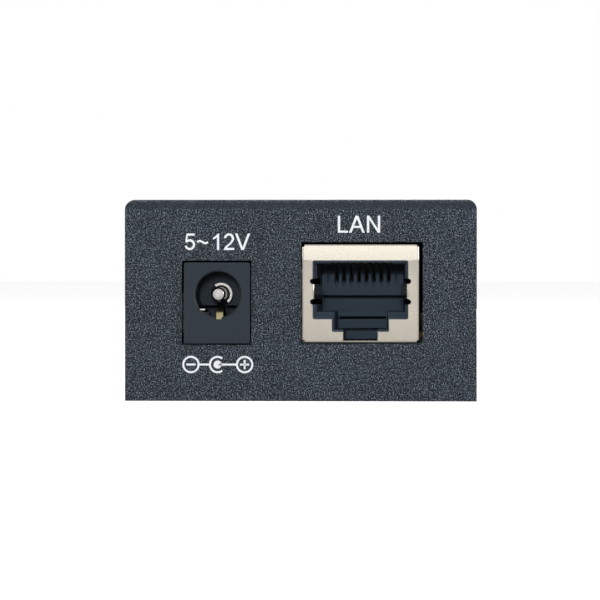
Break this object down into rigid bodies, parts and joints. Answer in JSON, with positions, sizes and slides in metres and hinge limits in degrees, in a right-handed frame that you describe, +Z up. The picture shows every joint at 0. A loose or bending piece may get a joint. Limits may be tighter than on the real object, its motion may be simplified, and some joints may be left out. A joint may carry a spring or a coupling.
{
  "type": "fibre media converter",
  "caption": "Small painted steel box that converts between a copper network cable and a pluggable fibre transceiver, powered by a barrel plug.",
  "frame": {"origin": "middle of the underside, on the surface that the box stands on, halfway between the faces of the jacks at the front and the mouth of the fibre slot at the back", "axes": "+Z up; -Y out of the front panel with the power jack and the copper port; +Y out of the rear panel with the fibre slot; +X to the right when facing the front panel, the side that the copper port is on"},
  "size_m": [0.048, 0.0708, 0.0275],
  "materials": {
    "painted_steel": "fine-textured matt powder coat",
    "black_steel": "black, satin",
    "plated_steel": "bright zinc plate",
    "nickel": "bright nickel plate",
    "nickel_shell": "satin nickel plate",
    "brass_leaf": "bright spring brass",
    "gilt": "gold plate",
    "tin": "satin tin plate",
    "can_aluminium": "satin",
    "board_green": "green solder resist",
    "black_plastic": "moulded, satin",
    "port_plastic": "moulded, blue-black, satin",
    "chip_black": "moulded, matt",
    "ferrite": "dark grey ferrite",
    "ceramic_tan": "fired ceramic",
    "red_lens": "tinted clear lens",
    "green_lens": "tinted clear lens"
  },
  "bodies": {
    "root": {"cover": "painted_steel", "tray": "painted_steel", "standoffs": "plated_steel", "board_screws": "plated_steel", "case_screws": "black_steel", "circuit_board": "board_green", "dc_jack_housing": "black_plastic", "dc_jack_pin": "nickel", "dc_jack_spring": "brass_leaf", "dc_jack_switch_contact": "nickel", "network_jack_shield": "nickel_shell", "network_jack_housing": "port_plastic", "network_jack_insert": "port_plastic", "network_jack_contacts": "gilt", "sfp_cage": "nickel_shell", "sfp_spring_fingers": "plated_steel", "sfp_connector": "black_plastic", "sfp_connector_contacts": "gilt", "transformer": "chip_black", "transformer_leads": "tin", "converter_chip": "chip_black", "converter_chip_pads": "tin", "memory_chip": "chip_black", "memory_chip_leads": "tin", "regulator_chip": "chip_black", "regulator_chip_leads": "tin", "electrolytic_capacitors": "can_aluminium", "capacitor_bases": "black_plastic", "power_inductor": "ferrite", "crystal": "nickel", "power_diode": "chip_black", "power_diode_tabs": "tin", "power_lamp": "red_lens", "fibre_lamp": "green_lens", "copper_lamp": "green_lens", "lamp_legs": "tin", "chip_capacitors": "ceramic_tan", "chip_resistors": "chip_black", "chip_end_caps": "tin"}
  },
  "joints": []
}
